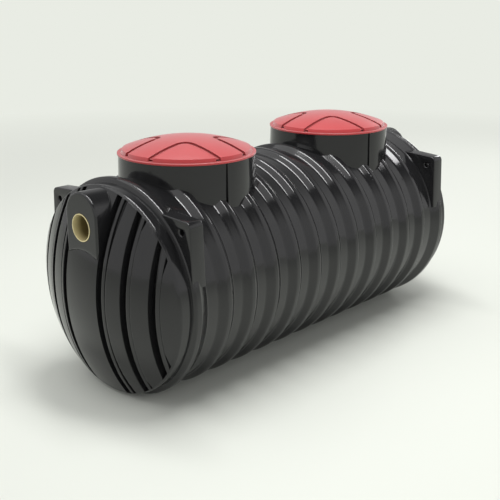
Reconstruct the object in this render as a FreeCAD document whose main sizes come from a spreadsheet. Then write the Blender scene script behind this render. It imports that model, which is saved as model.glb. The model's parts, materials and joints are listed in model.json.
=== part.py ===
import math
import os

import FreeCAD
import Part
import Sketcher

doc = FreeCAD.newDocument("water_tank")
sheet = doc.addObject("Spreadsheet::Sheet", "Sizes")

# millimetres; heights and radii are taken from the barrel's axis
tank_sizes = [
    ("rib_radius", 468), ("rib_height", 22), ("rib_pitch", 141), ("rib_top_width", 26), ("valley_width", 57),
    ("rib_edge_radius", 20), ("valley_edge_radius", 20), ("wall_thickness", 12), ("base_cut", 10),
    ("end_rib_shift", 30), ("end_rib_top_width", 30), ("end_flank_width", 52), ("end_edge_radius", 14),
    ("end_step_width", 7), ("band_drop", 21), ("band_width", 52), ("rim_edge_radius", 14),
    ("rim_wall_depth", 25), ("rim_wall_width", 10), ("dish_radius", 770), ("slot_depth", 48),
    ("spine_half_width", 98), ("slot_width", 29.5), ("strake_width", 86.5), ("lip_width", 14),
    ("slit_depth", 12), ("slit_room", 30), ("seam_width", 2), ("inner_slit_width", 4),
    ("inner_slit_radius", 5400), ("outer_slit_start", 306), ("side_slit_start", 144), ("slit_radius", 1260),
    ("boss_arch_drop", 126), ("boss_set_back", 27), ("boss_edge_radius", 9),
    ("pipe_drop", 171), ("pipe_diameter", 114), ("pipe_wall", 4), ("pipe_stand_out", 2), ("pipe_length", 110),
    ("neck_spacing", 986), ("neck_rise", 50), ("neck_top_radius", 296), ("neck_base_radius", 303),
    ("neck_wall", 10), ("neck_overlap", 25), ("neck_seam_width", 12), ("neck_seam_depth", 5),
    ("lid_overhang", 4), ("lid_flange", 7), ("lid_rim_inset", 16), ("lid_rim_taper", 6),
    ("lid_rim_height", 23), ("lid_dome_height", 50), ("lid_sheet", 6), ("lid_clearance", 6),
    ("lid_spigot_depth", 30), ("lid_arm_half_width", 75), ("lid_groove_width", 22), ("lid_groove_depth", 7),
    ("lid_apex_radius", 40),
    ("lug_inset", 17), ("lug_draft", 11), ("lug_drop", 107), ("lug_rise", 14), ("lug_foot_height", 100),
    ("lug_thickness", 71), ("lug_corner_radius", 24),
    ("lug_hole_inset", 47), ("lug_hole_drop", 44), ("lug_hole_diameter", 24),
]
for row, (name, value) in enumerate(tank_sizes, start=1):
    sheet.set("A%d" % row, name)
    sheet.set("B%d" % row, str(value))
    sheet.setAlias("B%d" % row, name)
doc.recompute()


class Size:
    """A number with the sheet expression that gives it."""

    def __init__(self, value, text):
        self.value = float(value)
        self.text = text

    def __add__(self, other):
        other = as_size(other)
        return Size(self.value + other.value, "(%s + %s)" % (self.text, other.text))

    def __sub__(self, other):
        other = as_size(other)
        return Size(self.value - other.value, "(%s - %s)" % (self.text, other.text))

    def __mul__(self, other):
        other = as_size(other)
        return Size(self.value * other.value, "(%s * %s)" % (self.text, other.text))

    def __truediv__(self, other):
        other = as_size(other)
        return Size(self.value / other.value, "(%s / %s)" % (self.text, other.text))

    def __neg__(self):
        return Size(-self.value, "(0 - %s)" % self.text)

    def root(self):
        return Size(math.sqrt(self.value), "sqrt(%s)" % self.text)


def as_size(item):
    return item if isinstance(item, Size) else Size(item, repr(float(item)))


def s(name):
    return Size(sheet.get(name), "Sizes.%s" % name)


def leg(slope, side):
    """Third side of a right triangle."""
    return (slope * slope - side * side).root()


def bind(obj, path, size):
    obj.setExpression(path, as_size(size).text)


def place(obj, x=0, y=0, z=0, turn=None):
    """Set a place from sizes, with an optional fixed turn (axis, degrees)."""
    spots = [as_size(q) for q in (x, y, z)]
    rotation = FreeCAD.Rotation(FreeCAD.Vector(*turn[0]), turn[1]) if turn else FreeCAD.Rotation()
    obj.Placement = FreeCAD.Placement(FreeCAD.Vector(*[q.value for q in spots]), rotation)
    for letter, spot in zip("xyz", spots):
        bind(obj, "Placement.Base.%s" % letter, spot)
    return obj


def profile(name, corners, arcs=None):
    """Closed outline; arcs maps a side's index to the arc's centre."""
    arcs = arcs or {}
    outline = doc.addObject("Sketcher::SketchObject", name)
    spots = [(as_size(c[0]), as_size(c[1])) for c in corners]
    points = [FreeCAD.Vector(a.value, b.value) for a, b in spots]
    count = len(spots)
    for i, start in enumerate(points):
        end = points[(i + 1) % count]
        if i not in arcs:
            outline.addGeometry(Part.LineSegment(start, end))
            continue
        centre = FreeCAD.Vector(as_size(arcs[i][0]).value, as_size(arcs[i][1]).value)
        turns = [math.atan2(q.y - centre.y, q.x - centre.x) for q in (start, end)]
        if (turns[1] - turns[0]) % (2 * math.pi) > math.pi + 1e-9:
            turns.reverse()
        circle = Part.Circle(centre, FreeCAD.Vector(0, 0, 1), (start - centre).Length)
        outline.addGeometry(Part.ArcOfCircle(circle, turns[0], turns[1]))
    ends = []
    for curve, point in zip(outline.Geometry, points):
        nearer = curve.StartPoint.distanceToPoint(point) <= curve.EndPoint.distanceToPoint(point)
        ends.append((1, 2) if nearer else (2, 1))
    for i in range(count):
        j = (i + 1) % count
        outline.addConstraint(Sketcher.Constraint("Coincident", i, ends[i][1], j, ends[j][0]))
    for i in range(count):
        hold(outline, "DistanceX", i, ends[i][0], spots[i][0])
        hold(outline, "DistanceY", i, ends[i][0], spots[i][1])
    for i, centre in arcs.items():
        chord = points[(i + 1) % count] - points[i]
        letter, size = ("X", centre[0]) if abs(chord.y) >= abs(chord.x) else ("Y", centre[1])
        hold(outline, "Distance" + letter, i, 3, as_size(size))
    return outline


def hold(outline, kind, curve, point, size):
    if size.value >= 0:
        number = outline.addConstraint(Sketcher.Constraint(kind, -1, 1, curve, point, size.value))
    else:
        size = -size
        number = outline.addConstraint(Sketcher.Constraint(kind, curve, point, -1, 1, size.value))
    outline.setExpression("Constraints[%d]" % number, size.text)


def revolve(name, outline, axis=(1, 0, 0)):
    solid = doc.addObject("Part::Revolution", name)
    solid.Source = outline
    solid.Axis = FreeCAD.Vector(*axis)
    solid.Angle = 360
    solid.Solid = True
    return solid


def extrude(name, outline, length):
    solid = doc.addObject("Part::Extrusion", name)
    solid.Base = outline
    solid.DirMode = "Normal"
    solid.Solid = True
    bind(solid, "LengthFwd", length)
    return solid


def round_edges(name, base, pick, radius):
    """Round the edges of base that pick accepts."""
    doc.recompute()
    solid = doc.addObject("Part::Fillet", name)
    solid.Base = base
    numbered = enumerate(base.Shape.Edges, start=1)
    solid.Edges = [(i, radius, radius) for i, edge in numbered if pick(edge.CenterOfMass)]
    return solid


def cut(name, base, tool):
    solid = doc.addObject("Part::Cut", name)
    solid.Base, solid.Tool = base, tool
    return solid


def common(name, base, tool):
    solid = doc.addObject("Part::Common", name)
    solid.Base, solid.Tool = base, tool
    return solid


def fuse(name, shapes):
    solid = doc.addObject("Part::MultiFuse", name)
    solid.Shapes = shapes
    return solid


def box(name, length, width, height):
    solid = doc.addObject("Part::Box", name)
    for path, size in (("Length", length), ("Width", width), ("Height", height)):
        bind(solid, path, size)
    return solid


def rod(name, radius, height):
    solid = doc.addObject("Part::Cylinder", name)
    bind(solid, "Radius", radius)
    bind(solid, "Height", height)
    return solid


def cone(name, low, high, height):
    solid = doc.addObject("Part::Cone", name)
    for path, size in (("Radius1", low), ("Radius2", high), ("Height", height)):
        bind(solid, path, size)
    return solid


nodes = []


def node(name, solid):
    solid.Label = name
    nodes.append(solid)
    return solid


ends = (("inlet", -1), ("outlet", 1))
sides = (("front", -1), ("back", 1))
along_x = ((0, 1, 0), 90)
facing_x = ((1, 1, 1), 120)
ribs_each_side = 5
near = 0.01

# heights and radii
rib_r = s("rib_radius")
valley_r = rib_r - s("rib_height")
band_r = rib_r - s("band_drop")
wall = s("wall_thickness")
bore_r = valley_r - wall
axis_height = rib_r - s("base_cut")
neck_top = rib_r + s("neck_rise")
neck_bottom = leg(bore_r, s("neck_base_radius")) - s("neck_overlap")
neck_height = neck_top - neck_bottom
pipe_height = axis_height + rib_r - s("pipe_drop")

# stations along the barrel
pitch = s("rib_pitch")
valley_x = pitch * (ribs_each_side + 0.5)
neck_x = s("neck_spacing") / 2
end_rib_x = pitch * (ribs_each_side + 1) + s("end_rib_shift")
end_head_in = end_rib_x - s("end_rib_top_width") / 2
end_head_out = end_rib_x + s("end_rib_top_width") / 2
end_foot_in = end_head_in - s("end_flank_width")
end_foot_out = end_head_out + s("end_step_width")
rim_x = end_foot_out + s("band_width")

# dish: a sphere that the rim's rounding runs into, and the dome at the bottom of the slots
dish_r, rim_round = s("dish_radius"), s("rim_edge_radius")
dish_x = rim_x - leg(dish_r, band_r)
crown_x = dish_x + dish_r
round_r = band_r - rim_round
round_x = dish_x + leg(dish_r - rim_round, round_r)
meet_x = dish_x + (round_x - dish_x) * dish_r / (dish_r - rim_round)
meet_r = round_r * dish_r / (dish_r - rim_round)
dome_crown = crown_x - s("slot_depth")
dome_rim_x, dome_rim_r = meet_x - s("rim_wall_depth"), meet_r - s("rim_wall_width")
dome_rise = dome_crown - dome_rim_x
dome_r = (dome_rim_r * dome_rim_r + dome_rise * dome_rise) / (dome_rise * 2)
dome_x = dome_crown - dome_r
boss_face = crown_x - s("boss_set_back")
pipe_face = boss_face + s("pipe_stand_out")


def span(low, high, sign):
    """Low end of a stretch along an axis, mirrored for the negative side."""
    return low if sign > 0 else -high


# tools that are cut from several pieces
reach = crown_x * 3
floor_cut = place(box("floor_cut", reach, reach, rib_r), -(reach / 2), -(reach / 2), -rib_r)
neck_cores, pipe_cores = {}, {}
for end, sign in ends:
    core = cone(end + "_neck_core", s("neck_base_radius"), s("neck_top_radius"), neck_height)
    neck_cores[end] = place(core, neck_x * sign, 0, axis_height + neck_bottom)
    hole = rod(end + "_pipe_core", s("pipe_diameter") / 2, s("pipe_length"))
    hole_x = span(pipe_face - s("pipe_length"), pipe_face, sign)
    pipe_cores[end] = place(hole, hole_x, 0, pipe_height, along_x)
shell_cuts = fuse("shell_cuts", [floor_cut, *neck_cores.values(), *pipe_cores.values()])


def eased(foot, head, foot_r, head_r, radius, crest):
    """Corners and centre that round a flank's head (crest) or foot; x may run either way."""
    run, rise = head - foot, head_r - foot_r
    slope = (run * run + rise * rise).root()
    way = 1 if run.value > 0 else -1
    back = radius * (slope - run * way) / rise
    if crest:
        flat = (head + back * way, head_r)
        flank = (head - back * run / slope, head_r - back * rise / slope)
        return flat, flank, (flat[0], head_r - radius)
    flat = (foot - back * way, foot_r)
    flank = (foot + back * run / slope, foot_r + back * rise / slope)
    return flat, flank, (flat[0], foot_r + radius)


def climb(foot, head, edge):
    """Rounded flank from the valley up to a rib's head."""
    low = eased(foot, head, valley_r, rib_r, s("valley_edge_radius"), False)
    high = eased(foot, head, valley_r, rib_r, edge, True)
    return [low[0], low[1], high[1], high[0]], [low[2], high[2]]


# barrel: ribs, each its own ring, parted in the valleys
rib_foot, rib_head = s("valley_width") / 2, (pitch - s("rib_top_width")) / 2
up, up_centres = climb(rib_foot, rib_head, s("rib_edge_radius"))
down, down_centres = climb(pitch - rib_foot, pitch - rib_head, s("rib_edge_radius"))
inside = [(0, bore_r), (rib_foot, bore_r), (rib_head, rib_r - wall), (pitch - rib_head, rib_r - wall),
          (pitch - rib_foot, bore_r), (pitch, bore_r)]
ring_corners = [(0, valley_r), *up, *down[::-1], (pitch, valley_r), *inside[::-1]]
ring_line = profile("ring_line", ring_corners, {1: up_centres[0], 3: up_centres[1],
                                                5: down_centres[1], 7: down_centres[0]})
for k in range(2 * ribs_each_side + 1):
    name = "barrel_ring_%02d" % (k + 1)
    ring = place(revolve(name + "_turned", ring_line), pitch * k - valley_x, 0, axis_height)
    node(name, cut(name, ring, shell_cuts))

# outlines of an end: shell, cavity, and the layer the strakes are cut from
rise_line, rise_centres = climb(end_foot_in, end_head_in, s("end_edge_radius"))
step = eased(end_foot_out, end_head_out, band_r, rib_r, s("end_edge_radius"), True)
shell_corners = [(valley_x, valley_r), *rise_line, step[0], step[1], (end_foot_out, band_r),
                 (round_x, band_r), (meet_x, meet_r), (dome_rim_x, dome_rim_r), (dome_crown, 0),
                 (valley_x, 0)]
end_line = profile("end_line", shell_corners, {1: rise_centres[0], 3: rise_centres[1], 5: step[2],
                                               8: (round_x, round_r), 10: (dome_x, 0)})
cavity_r = band_r - wall
cavity_corners = [(valley_x, bore_r), (end_foot_in, bore_r), (end_head_in, rib_r - wall),
                  (end_head_out - wall, rib_r - wall), (end_foot_out - wall, cavity_r),
                  (dome_x + leg(dome_r - wall, cavity_r), cavity_r), (dome_crown - wall, 0), (valley_x, 0)]
cavity_line = profile("cavity_line", cavity_corners, {5: (dome_x, 0)})
layer_corners = [(meet_x, meet_r), (crown_x, 0), (dome_crown, 0), (dome_rim_x, dome_rim_r)]
layer_line = profile("layer_line", layer_corners, {0: (dish_x, 0), 2: (dome_x, 0)})

# strakes outward from the spine, each with a slit behind its lip that widens towards the rim
inner_start = s("spine_half_width") + s("slot_width")
outer_start = inner_start + s("strake_width") + s("slot_width")
side_start = outer_start + s("strake_width") + s("slot_width")
inner_slit = s("inner_slit_width") + s("inner_slit_radius")
strakes = [("inner", inner_start, inner_start + s("strake_width"), s("inner_slit_radius"), inner_slit),
           ("outer", outer_start, outer_start + s("strake_width"), s("slit_radius"),
            leg(s("slit_radius"), s("outer_slit_start"))),
           ("side", side_start, rib_r, s("slit_radius"), leg(s("slit_radius"), s("side_slit_start")))]

# a boss and a lug seen along the barrel
half, arch_z = s("spine_half_width"), rib_r - s("boss_arch_drop")
boss_line = profile("boss_line", [(-half, 0), (half, 0), (half, arch_z), (-half, arch_z)], {2: (0, arch_z)})
lug_side, lug_top = rib_r - s("lug_inset"), rib_r - s("lug_drop")
lug_shoulder = lug_side - s("lug_draft")
lug_root, lug_foot = lug_side / 2, s("lug_foot_height")
lug_lines = {}
for side, way in sides:
    lug_corners = [(lug_root * way, lug_foot), (lug_side * way, lug_foot), (lug_shoulder * way, lug_top),
                   (lug_root * way, lug_top + s("lug_rise"))]
    lug_lines[side] = profile("lug_line_" + side, lug_corners)

for end, sign in ends:
    turn = ((0, 0, 1), 180) if sign < 0 else None
    end_start = span(0, crown_x, sign)
    full = place(revolve(end + "_end_full", end_line), 0, 0, axis_height, turn)
    cavity = place(revolve(end + "_end_cavity", cavity_line), 0, 0, axis_height, turn)
    node(end + "_end", cut(end + "_end", cut(end + "_end_hollow", full, cavity), shell_cuts))
    layer = place(revolve(end + "_layer", layer_line), 0, 0, axis_height, turn)

    # slits, no deeper than a smaller sphere
    slits = []
    for side, way in sides:
        for label, low, high, radius, middle in strakes:
            name = "%s_slit_%s_%s" % (end, side, label)
            inner_edge = low + s("lip_width")
            slab = box(name + "_slab", crown_x, s("slit_room"), rib_r * 2)
            slab_y = span(inner_edge, inner_edge + s("slit_room"), way)
            place(slab, end_start, slab_y, -s("base_cut"))
            bulge = rod(name + "_bulge", radius, crown_x)
            place(bulge, end_start, (inner_edge + middle) * way, axis_height, along_x)
            seam = box(name + "_seam", crown_x, s("seam_width"), rib_r * 2)
            place(seam, end_start, span(inner_edge, inner_edge + s("seam_width"), way), -s("base_cut"))
            slits += [cut(name, slab, bulge), seam]
    floor = doc.addObject("Part::Sphere", end + "_slit_floor")
    bind(floor, "Radius", dish_r - s("slit_depth"))
    place(floor, dish_x * sign, 0, axis_height)
    slit_tool = cut(end + "_slits", fuse(end + "_slit_slabs", slits), floor)

    for side, way in sides:
        for label, low, high, radius, middle in strakes:
            name = "%s_strake_%s_%s" % (end, side, label)
            slab = box(name + "_slab", crown_x, high - low, rib_r * 2)
            place(slab, end_start, span(low, high, way), -s("base_cut"))
            node(name, cut(name, common(name + "_plain", layer, slab), slit_tool))

    # spine down the middle, and the arched boss that carries the pipe stub
    slab = box(end + "_spine_slab", crown_x, half * 2, rib_r * 2)
    place(slab, end_start, -half, -s("base_cut"))
    node(end + "_spine", cut(end + "_spine", common(end + "_spine_plain", layer, slab), pipe_cores[end]))
    boss_back = rim_x - s("band_width") / 2
    outline = doc.copyObject(boss_line)
    place(outline, span(boss_back, boss_face, sign), 0, axis_height, facing_x)
    block = extrude(end + "_boss_block", outline, boss_face - boss_back)
    face_x, foot_z = boss_face.value * sign, axis_height.value
    block = round_edges(end + "_boss_rounded", block,
                        lambda p: abs(p.x - face_x) < near and p.z > foot_z + near,
                        s("boss_edge_radius").value)
    boss = cut(end + "_boss_solid", cut(end + "_boss_seat", block, layer), full)
    node(end + "_boss", cut(end + "_boss", boss, pipe_cores[end]))

    # pipe stub through the boss
    bore = rod(end + "_pipe_bore", s("pipe_diameter") / 2 - s("pipe_wall"), s("pipe_length"))
    place(bore, span(pipe_face - s("pipe_length"), pipe_face, sign), 0, pipe_height, along_x)
    node(end + "_pipe", cut(end + "_pipe", pipe_cores[end], bore))

    # lifting lugs square off the end rib's shoulders
    for side, way in sides:
        name = "%s_lug_%s" % (end, side)
        lug_x = span(end_head_out - s("lug_thickness"), end_head_out, sign)
        outline = doc.copyObject(lug_lines[side])
        place(outline, lug_x, 0, axis_height, facing_x)
        block = extrude(name + "_block", outline, s("lug_thickness"))
        corner_y, corner_z = lug_shoulder.value * way, (axis_height + lug_top).value
        block = round_edges(name + "_rounded", block,
                            lambda p: abs(p.y - corner_y) < near and abs(p.z - corner_z) < near,
                            s("lug_corner_radius").value)
        eye = rod(name + "_eye", s("lug_hole_diameter") / 2, s("lug_thickness"))
        eye_y = (lug_shoulder - s("lug_hole_inset")) * way
        place(eye, lug_x, eye_y, axis_height + lug_top - s("lug_hole_drop"), along_x)
        node(name, cut(name, cut(name + "_seated", block, full), eye))

# lid, turned about its own upright axis: spigot, flange, rim and dome
lid_r = s("neck_top_radius") + s("lid_overhang")
rim_low_r = lid_r - s("lid_rim_inset")
rim_top_r = rim_low_r - s("lid_rim_taper")
rim_z, lid_rise = s("lid_rim_height"), s("lid_dome_height")
dome_z = rim_z + lid_rise
lid_dome_r = (rim_top_r * rim_top_r + lid_rise * lid_rise) / (lid_rise * 2)
lid_centre = (0, dome_z - lid_dome_r)
spigot_r = s("neck_top_radius") - s("neck_wall") - s("lid_clearance")
spigot_in, skin = spigot_r - s("lid_sheet"), s("lid_sheet") + s("lid_groove_depth")
spigot_foot, flange = -s("lid_spigot_depth"), s("lid_flange")
under_z = dome_z - lid_dome_r + leg(lid_dome_r - skin, spigot_in)
lid_corners = [(spigot_r, spigot_foot), (spigot_r, 0), (lid_r, 0), (lid_r, flange), (rim_low_r, flange),
               (rim_top_r, rim_z), (0, dome_z), (0, dome_z - skin), (spigot_in, under_z),
               (spigot_in, spigot_foot)]
lid_line = profile("lid_line", lid_corners, {5: lid_centre, 7: lid_centre})

# grooves that outline four sectors, one depth below the dome
groove = s("lid_groove_depth")
low_r = rim_top_r - groove
low_line = profile("groove_floor_line", [(0, 0), (low_r, 0), (low_r, rim_z - groove), (0, dome_z - groove)],
                   {2: (0, dome_z - groove - lid_dome_r)})


def cross_line(name, half_width, corner):
    """Cross with rounded inner corners, arms past the lid's edge."""
    corners, arcs = [], {}
    bend = half_width + corner
    for a, b in ((1, 1), (-1, 1), (-1, -1), (1, -1)):
        arcs[len(corners) + 1] = (bend * a, bend * b)
        quarter = [(lid_r * a, half_width * b), (bend * a, half_width * b), (half_width * a, bend * b),
                   (half_width * a, lid_r * b)]
        corners += quarter if a == b else quarter[::-1]
    return profile(name, corners, arcs)


half_groove = s("lid_groove_width") / 2
arm, apex = s("lid_arm_half_width"), s("lid_apex_radius")
wide_line = cross_line("wide_cross_line", arm + half_groove, apex - half_groove)
slim_line = cross_line("slim_cross_line", arm - half_groove, apex + half_groove)
wide_cross = extrude("wide_cross", wide_line, dome_z)
groove_bands = cut("groove_bands", wide_cross, extrude("slim_cross", slim_line, dome_z))
lid_turned = revolve("lid_turned", lid_line, (0, 1, 0))
groove_floor = revolve("groove_floor", low_line, (0, 1, 0))
upright = ((1, 0, 0), 90)

# necks, each with a moulding seam, and the lids on them
barrel_bore = place(rod("barrel_bore", bore_r, reach), -(reach / 2), 0, axis_height, along_x)
seam_turn = -100
seam_out = (math.cos(math.radians(seam_turn)), math.sin(math.radians(seam_turn)))
seam_in = s("neck_top_radius") - s("neck_seam_depth")
for end, sign in ends:
    core = cone(end + "_neck_inside", s("neck_base_radius") - s("neck_wall"),
                s("neck_top_radius") - s("neck_wall"), neck_height)
    place(core, neck_x * sign, 0, axis_height + neck_bottom)
    seam = box(end + "_neck_seam", s("neck_base_radius") - s("neck_top_radius") + s("neck_wall"),
               s("neck_seam_width"), neck_height)
    half_seam = s("neck_seam_width") / 2
    seam_x = neck_x * sign + seam_in * seam_out[0] + half_seam * seam_out[1]
    seam_y = seam_in * seam_out[1] - half_seam * seam_out[0]
    place(seam, seam_x, seam_y, axis_height + neck_bottom, ((0, 0, 1), seam_turn))
    neck_cuts = fuse(end + "_neck_cuts", [core, barrel_bore, seam])
    node(end + "_neck", cut(end + "_neck", neck_cores[end], neck_cuts))
    lid_z = axis_height + neck_top
    lid_solid = place(doc.copyObject(lid_turned), neck_x * sign, 0, lid_z, upright)
    bands = place(doc.copyObject(groove_bands), neck_x * sign, 0, lid_z + rim_z - groove * 2)
    floor = place(doc.copyObject(groove_floor), neck_x * sign, 0, lid_z, upright)
    node(end + "_lid", cut(end + "_lid", lid_solid, cut(end + "_lid_grooves", bands, floor)))

doc.recompute()
for obj in doc.Objects:
    if "Invalid" in obj.State or "Error" in obj.State:
        raise RuntimeError("%s did not build: %s" % (obj.Label, obj.State))
os.makedirs("parts", exist_ok=True)
for solid in nodes:
    shape = solid.Shape
    if shape.isNull() or not shape.isValid() or len(shape.Solids) != 1:
        raise RuntimeError("%s: valid %s, solids %d" % (solid.Label, shape.isValid(), len(shape.Solids)))
    shape.exportStep("parts/%s.step" % solid.Label)
print("wrote", len(nodes), "parts")
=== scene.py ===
import json
import math

import bpy
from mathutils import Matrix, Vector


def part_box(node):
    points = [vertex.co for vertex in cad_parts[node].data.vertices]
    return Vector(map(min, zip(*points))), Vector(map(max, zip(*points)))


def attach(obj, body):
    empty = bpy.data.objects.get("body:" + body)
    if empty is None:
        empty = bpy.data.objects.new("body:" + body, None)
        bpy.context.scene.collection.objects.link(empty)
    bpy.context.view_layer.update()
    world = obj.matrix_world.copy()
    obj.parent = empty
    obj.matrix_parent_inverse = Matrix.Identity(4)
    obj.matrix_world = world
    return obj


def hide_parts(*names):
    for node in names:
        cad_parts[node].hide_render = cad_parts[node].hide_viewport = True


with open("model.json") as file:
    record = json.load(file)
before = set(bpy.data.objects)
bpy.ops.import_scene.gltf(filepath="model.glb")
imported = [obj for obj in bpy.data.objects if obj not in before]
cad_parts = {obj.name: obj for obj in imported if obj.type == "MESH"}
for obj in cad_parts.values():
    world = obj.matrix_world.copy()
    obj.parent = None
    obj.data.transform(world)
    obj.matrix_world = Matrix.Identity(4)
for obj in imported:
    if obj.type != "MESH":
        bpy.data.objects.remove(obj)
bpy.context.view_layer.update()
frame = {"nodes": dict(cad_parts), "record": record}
print("frame loaded:", len(frame["nodes"]), "nodes")

mixA, mixB, mixOut = 6, 7, 2  # a Mix node's colour sockets, which share their names with its other sockets


def mm(size):
    return size / 1000  # the scene is in metres


def hexToLinear(code):
    parts = [int(code[i:i + 2], 16) / 255 for i in (1, 3, 5)]
    return [c / 12.92 if c <= 0.04045 else ((c + 0.055) / 1.055) ** 2.4 for c in parts] + [1]


def addNode(tree, kind, settings, links):
    node = tree.nodes.new(kind)
    for name, value in settings.items():
        if isinstance(name, str) and hasattr(node, name):
            setattr(node, name, value)
        else:
            node.inputs[name].default_value = value
    for name, socket in links.items():
        tree.links.new(socket, node.inputs[name])
    return node


def newMaterial(name, settings):
    material = bpy.data.materials.new(name)
    material.use_nodes = True
    tree = material.node_tree
    shader = tree.nodes["Principled BSDF"]
    for socket, value in settings.items():
        shader.inputs[socket].default_value = value
    return material, tree, shader


def mottle(tree, where, sizeMm, detail, colours):
    cloud = addNode(tree, "ShaderNodeTexNoise",
                    {"Scale": 1 / mm(sizeMm), "Detail": detail}, {"Vector": where})
    colour = addNode(tree, "ShaderNodeMix",
                     {"data_type": "RGBA", mixA: hexToLinear(colours[0]), mixB: hexToLinear(colours[1])},
                     {"Factor": cloud.outputs["Fac"]})
    return cloud.outputs["Fac"], colour.outputs[mixOut]


# black polyethylene, rotationally moulded: nearly black and glossy, so that the eye sees the room in it
blackShell = {
    "dark": "#181819", "light": "#1f1f20", "cloudMm": 160.0, "cloudDetail": 3.0,
    "roughness": (0.10, 0.16), "ior": 1.51,
    "peelMm": 9.0, "peelDetail": 2.0, "peelDepthMm": 0.03, "peelStrength": 0.3,
    "edgeMm": 5.0, "edgeSamples": 8,
}


def blackPolyethylene(v, name, softCorners):
    material, tree, shader = newMaterial(name, {"IOR": v["ior"]})
    where = addNode(tree, "ShaderNodeTexCoord", {}, {}).outputs["Object"]
    cloud, colour = mottle(tree, where, v["cloudMm"], v["cloudDetail"], (v["dark"], v["light"]))
    gloss = addNode(tree, "ShaderNodeMapRange",
                    {"To Min": v["roughness"][0], "To Max": v["roughness"][1]}, {"Value": cloud})
    peel = addNode(tree, "ShaderNodeTexNoise",
                   {"Scale": 1 / mm(v["peelMm"]), "Detail": v["peelDetail"]}, {"Vector": where})
    bump = addNode(tree, "ShaderNodeBump",
                   {"Distance": mm(v["peelDepthMm"]), "Strength": v["peelStrength"]},
                   {"Height": peel.outputs["Fac"]})
    if softCorners:  # as the mould rounds them
        corner = addNode(tree, "ShaderNodeBevel",
                         {"samples": v["edgeSamples"], "Radius": mm(v["edgeMm"])}, {})
        tree.links.new(corner.outputs["Normal"], bump.inputs["Normal"])
    tree.links.new(colour, shader.inputs["Base Color"])
    tree.links.new(gloss.outputs["Result"], shader.inputs["Roughness"])
    tree.links.new(bump.outputs["Normal"], shader.inputs["Normal"])
    return material


# red polyethylene, injection moulded: deep red, paler where it mirrors the light above, with painted shade
# darkening its grooves
redLid = {
    "deep": "#ad141b", "bright": "#b51a21", "cloudMm": 90.0, "cloudDetail": 3.0,
    "roughness": (0.42, 0.5), "ior": 1.51,
    "glaze": 0.5, "glazeRoughness": 0.35, "bloom": 0.45, "bloomRoughness": 0.45,
    "edgeMm": 2.5, "edgeSamples": 8,
    "groove": "#8c0a10", "grooveMm": 30.0, "grooveSamples": 8, "grooveRange": (0.55, 0.92),
}


def redPolyethylene(v):
    material, tree, shader = newMaterial("redPolyethylene", {
        "IOR": v["ior"], "Coat Weight": v["glaze"], "Coat Roughness": v["glazeRoughness"],
        "Sheen Weight": v["bloom"], "Sheen Roughness": v["bloomRoughness"]})
    where = addNode(tree, "ShaderNodeTexCoord", {}, {}).outputs["Object"]
    cloud, colour = mottle(tree, where, v["cloudMm"], v["cloudDetail"], (v["deep"], v["bright"]))
    # painted shade: the red turns darker where ambient occlusion finds the grooves hemmed in
    openness = addNode(tree, "ShaderNodeAmbientOcclusion",
                       {"samples": v["grooveSamples"], "only_local": True, "Distance": mm(v["grooveMm"])}, {})
    unshaded = addNode(tree, "ShaderNodeMapRange",
                    {"From Min": v["grooveRange"][0], "From Max": v["grooveRange"][1]},
                    {"Value": openness.outputs["AO"]})
    grooveShaded = addNode(tree, "ShaderNodeMix", {"data_type": "RGBA", mixA: hexToLinear(v["groove"])},
                      {"Factor": unshaded.outputs["Result"], mixB: colour})
    gloss = addNode(tree, "ShaderNodeMapRange",
                    {"To Min": v["roughness"][0], "To Max": v["roughness"][1]}, {"Value": cloud})
    corner = addNode(tree, "ShaderNodeBevel", {"samples": v["edgeSamples"], "Radius": mm(v["edgeMm"])}, {})
    tree.links.new(grooveShaded.outputs[mixOut], shader.inputs["Base Color"])
    tree.links.new(gloss.outputs["Result"], shader.inputs["Roughness"])
    tree.links.new(corner.outputs["Normal"], shader.inputs["Normal"])
    tree.links.new(corner.outputs["Normal"], shader.inputs["Coat Normal"])
    return material


# cream polyvinyl chloride pipe, extruded: satin and warm, with painted shade darkening the pipe from just
# inside its cut end inwards
creamPipe = {
    "cream": "#e2d5a6", "shade": "#d4c592", "streakMm": 14.0, "streakDetail": 2.0,
    "roughness": 0.42, "ior": 1.53, "boreShade": "#7a6c44", "shadeDepthMm": (43.0, 5.0),
}


def creamVinyl(v):
    material, tree, shader = newMaterial("creamVinyl", {"IOR": v["ior"], "Roughness": v["roughness"]})
    where = addNode(tree, "ShaderNodeTexCoord", {}, {}).outputs["Object"]
    colour = mottle(tree, where, v["streakMm"], v["streakDetail"], (v["cream"], v["shade"]))[1]
    # painted shade: the colour darkens the deeper a point lies along the pipe from its cut end
    split = addNode(tree, "ShaderNodeSeparateXYZ", {}, {"Vector": where})
    along = addNode(tree, "ShaderNodeMath", {"operation": "ABSOLUTE"}, {0: split.outputs["X"]})
    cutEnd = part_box("outlet_pipe")[1][0]  # both pipes end as far from the middle
    deepShadeAt, noShadeAt = [cutEnd - mm(depth) for depth in v["shadeDepthMm"]]
    unshaded = addNode(tree, "ShaderNodeMapRange", {"From Min": deepShadeAt, "From Max": noShadeAt},
                    {"Value": along.outputs["Value"]})
    boreShaded = addNode(tree, "ShaderNodeMix", {"data_type": "RGBA", mixA: hexToLinear(v["boreShade"])},
                     {"Factor": unshaded.outputs["Result"], mixB: colour})
    tree.links.new(boreShaded.outputs[mixOut], shader.inputs["Base Color"])
    return material


def dress(names, material):
    for name in names:
        frame["nodes"][name].data.materials[0] = material


lidNames = [n for n in frame["nodes"] if n.endswith("_lid")]
pipeNames = [n for n in frame["nodes"] if n.endswith("_pipe")]
edgedNames = [n for n in frame["nodes"] if "_strake_" in n or n.endswith("_boss")]
shellNames = [n for n in frame["nodes"] if n not in lidNames + pipeNames + edgedNames]
dress(shellNames, blackPolyethylene(blackShell, "blackPolyethylene", False))
dress(edgedNames, blackPolyethylene(blackShell, "blackPolyethyleneCorners", True))
dress(lidNames, redPolyethylene(redLid))
dress(pipeNames, creamVinyl(creamPipe))
print("materials set")

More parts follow.
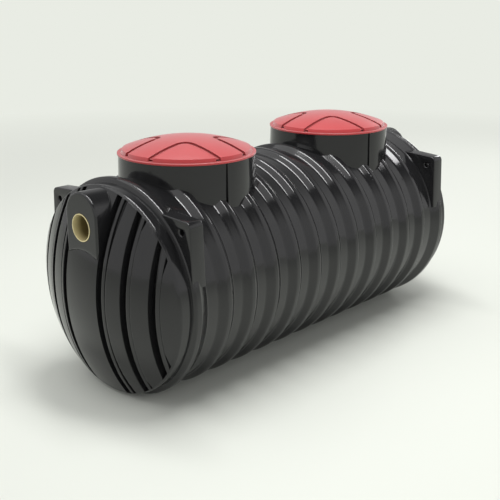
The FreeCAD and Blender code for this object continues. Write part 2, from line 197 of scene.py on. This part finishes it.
# lugs and spines: merged copies, the lugs with the rounded rims that catch the light
mergedCopy = {"mergeMm": 0.02, "smoothDegrees": 35.0}
lugRims = {
    "radiusMm": 5.0, "steps": 4, "flatDegrees": 0.3,
    "endFacing": 0.99, "sideFacing": 0.05, "outwardMm": 200.0, "eyeReachMm": 15.0,
}
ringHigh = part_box("barrel_ring_06")[1]  # the middle ring, clear of the necks
barrelAxis = ringHigh[2] - ringHigh[1]  # its top less its radius
eyes = [m["pos_m"] for m in frame["record"]["mounts"] if m["name"].endswith("_lifting_eye")]


def copyMerged(name, v):
    piece = bpy.data.objects.new(name + "_merged", frame["nodes"][name].data.copy())
    bpy.context.scene.collection.objects.link(piece)
    bpy.ops.object.select_all(action="DESELECT")
    piece.select_set(True)
    bpy.context.view_layer.objects.active = piece
    bpy.ops.mesh.customdata_custom_splitnormals_clear()
    bpy.ops.object.mode_set(mode="EDIT")
    bpy.ops.mesh.select_mode(type="EDGE")
    bpy.ops.mesh.select_all(action="SELECT")
    bpy.ops.mesh.remove_doubles(threshold=mm(v["mergeMm"]))
    bpy.ops.mesh.dissolve_degenerate(threshold=mm(v["mergeMm"]))
    bpy.ops.object.mode_set(mode="OBJECT")
    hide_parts(name)
    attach(piece, "tank")
    return piece


def roundRims(piece, v):
    bpy.ops.object.mode_set(mode="EDIT")
    bpy.ops.mesh.select_all(action="SELECT")
    bpy.ops.mesh.dissolve_limited(angle_limit=math.radians(v["flatDegrees"]))
    bpy.ops.mesh.select_all(action="DESELECT")
    bpy.ops.object.mode_set(mode="OBJECT")
    mesh = piece.data
    beside = {}
    for face in mesh.polygons:
        for key in face.edge_keys:
            beside.setdefault(key, []).append(face)
    # a rim has a flat end face on one side, and the eye or an outer face on the other
    for edge in mesh.edges:
        side, flat = sorted(beside[edge.key], key=lambda face: abs(face.normal.x))
        y, z = side.center.y, side.center.z
        outward = side.normal.y * y + side.normal.z * (z - barrelAxis) > mm(v["outwardMm"])
        inEye = any(math.hypot(y - eye[1], z - eye[2]) < mm(v["eyeReachMm"]) for eye in eyes)
        square = abs(flat.normal.x) > v["endFacing"] and abs(side.normal.x) < v["sideFacing"]
        edge.select = square and (outward or inEye)
    bpy.ops.object.mode_set(mode="EDIT")
    bpy.ops.mesh.bevel(offset=mm(v["radiusMm"]), segments=v["steps"], affect="EDGES")
    bpy.ops.object.mode_set(mode="OBJECT")


for name in frame["nodes"]:
    if "_lug_" in name or name.endswith("_spine"):
        piece = copyMerged(name, mergedCopy)
        if "_lug_" in name:
            roundRims(piece, lugRims)
        bpy.ops.object.shade_smooth_by_angle(angle=math.radians(mergedCopy["smoothDegrees"]))
print("lugs and spines replaced")

# studio: a wide pale floor under a soft sun and two softboxes, in a room that is bright low down and dark
# overhead; only the camera sees its pale wall
studio = {
    "floor": "#dde0d8", "floorRoughness": 0.9, "floorM": 600.0, "wall": "#e9ece4", "fadeM": (3.0, 8.0),
    "light": "#ffffff", "lowSky": 0.85, "highSky": 0.06, "lowDegrees": 30.0, "highDegrees": 55.0,
    "backWay": (0.74, 0.67, 0.0), "backShare": 0.5, "backRange": (0.2, 0.85),
    "sunPower": 1.5, "sunDegrees": 76.0, "sunTilt": (-10.0, -9.0), "sunHeightM": 5.0, "aimHeightM": 0.5,
    "lamps": {
        "backSoftbox": {"spot": (5.8, 0.9, 2.8), "size": (1.2, 1.4), "power": 45.0},
        "topStrip": {"spot": (-0.02, -0.4, 4.3), "size": (0.6, 3.2), "power": 110.0},
    },
}


def paintFloor(v):
    material, tree, shader = newMaterial("palePaint", {
        "Base Color": hexToLinear(v["floor"]), "Roughness": v["floorRoughness"]})
    where = addNode(tree, "ShaderNodeTexCoord", {}, {}).outputs["Object"]
    away = addNode(tree, "ShaderNodeVectorMath", {"operation": "LENGTH"}, {0: where})
    fade = addNode(tree, "ShaderNodeMapRange", {"From Min": v["fadeM"][0], "From Max": v["fadeM"][1]},
                   {"Value": away.outputs["Value"]})
    seen = addNode(tree, "ShaderNodeLightPath", {}, {})
    share = addNode(tree, "ShaderNodeMath", {"operation": "MULTIPLY"},
                    {0: fade.outputs["Result"], 1: seen.outputs["Is Camera Ray"]})
    wall = addNode(tree, "ShaderNodeEmission", {"Color": hexToLinear(v["wall"])}, {})
    both = addNode(tree, "ShaderNodeMixShader", {}, {
        0: share.outputs["Value"], 1: shader.outputs["BSDF"], 2: wall.outputs["Emission"]})
    tree.links.new(both.outputs["Shader"], tree.nodes["Material Output"].inputs["Surface"])
    return material


def layFloor(v):
    bpy.ops.object.select_all(action="DESELECT")
    bpy.ops.mesh.primitive_plane_add(size=v["floorM"])
    floor = bpy.context.object
    floor.name = "studioFloor"
    floor.data.materials.append(paintFloor(v))


def lightRoom(v):
    world = bpy.data.worlds.new("studioWorld")
    bpy.context.scene.world = world
    world.use_nodes = True
    tree = world.node_tree
    where = addNode(tree, "ShaderNodeTexCoord", {}, {}).outputs["Generated"]
    split = addNode(tree, "ShaderNodeSeparateXYZ", {}, {"Vector": where})
    lift = addNode(tree, "ShaderNodeMapRange", {
        "interpolation_type": "SMOOTHSTEP", "From Min": math.sin(math.radians(v["lowDegrees"])),
        "From Max": math.sin(math.radians(v["highDegrees"])), "To Min": v["lowSky"], "To Max": v["highSky"],
    }, {"Value": split.outputs["Z"]})
    behind = addNode(tree, "ShaderNodeVectorMath", {"operation": "DOT_PRODUCT", 1: v["backWay"]}, {0: where})
    shade = addNode(tree, "ShaderNodeMapRange", {
        "interpolation_type": "SMOOTHSTEP", "From Min": v["backRange"][0], "From Max": v["backRange"][1],
        "To Min": 1.0, "To Max": v["backShare"],
    }, {"Value": behind.outputs["Value"]})
    sky = addNode(tree, "ShaderNodeMath", {"operation": "MULTIPLY"},
                  {0: lift.outputs["Result"], 1: shade.outputs["Result"]})
    room = tree.nodes["Background"]
    room.inputs["Color"].default_value = hexToLinear(v["light"])
    tree.links.new(sky.outputs["Value"], room.inputs["Strength"])
    wall = addNode(tree, "ShaderNodeBackground", {"Color": hexToLinear(v["wall"])}, {})
    seen = addNode(tree, "ShaderNodeLightPath", {}, {})
    both = addNode(tree, "ShaderNodeMixShader", {}, {
        0: seen.outputs["Is Camera Ray"], 1: room.outputs["Background"], 2: wall.outputs["Background"]})
    tree.links.new(both.outputs["Shader"], tree.nodes["World Output"].inputs["Surface"])


def hangLamps(v):
    bpy.ops.object.light_add(type="SUN", location=(0, 0, v["sunHeightM"]),
                             rotation=[math.radians(a) for a in v["sunTilt"]] + [0])
    sun = bpy.context.object
    sun.name = "softSun"
    sun.data.energy = v["sunPower"]
    sun.data.angle = math.radians(v["sunDegrees"])
    for name, lamp in v["lamps"].items():  # each one faces the tank's middle
        x, y, z = lamp["spot"]
        lean = math.atan2(math.hypot(x, y), z - v["aimHeightM"])
        bpy.ops.object.light_add(type="AREA", location=lamp["spot"],
                                 rotation=(lean, 0, math.atan2(y, x) + math.pi / 2))
        softbox = bpy.context.object
        softbox.name = name
        softbox.data.shape = "RECTANGLE"
        softbox.data.size, softbox.data.size_y = lamp["size"]
        softbox.data.energy = lamp["power"]


layFloor(studio)
lightRoom(studio)
hangLamps(studio)
print("studio built")

# camera where the photograph was taken from
view = {
    "place": (-2.9606, -2.6932, 1.6822), "tilt": 72.465, "turn": -46.789, "lens": 61.282, "sensor": 36.0,
}
bpy.ops.object.camera_add(location=view["place"],
                          rotation=(math.radians(view["tilt"]), 0, math.radians(view["turn"])))
camera = bpy.context.object
camera.data.lens = view["lens"]
camera.data.sensor_width = view["sensor"]
bpy.context.scene.camera = camera
bpy.context.scene.view_settings.view_transform = "Standard"
print("camera set")
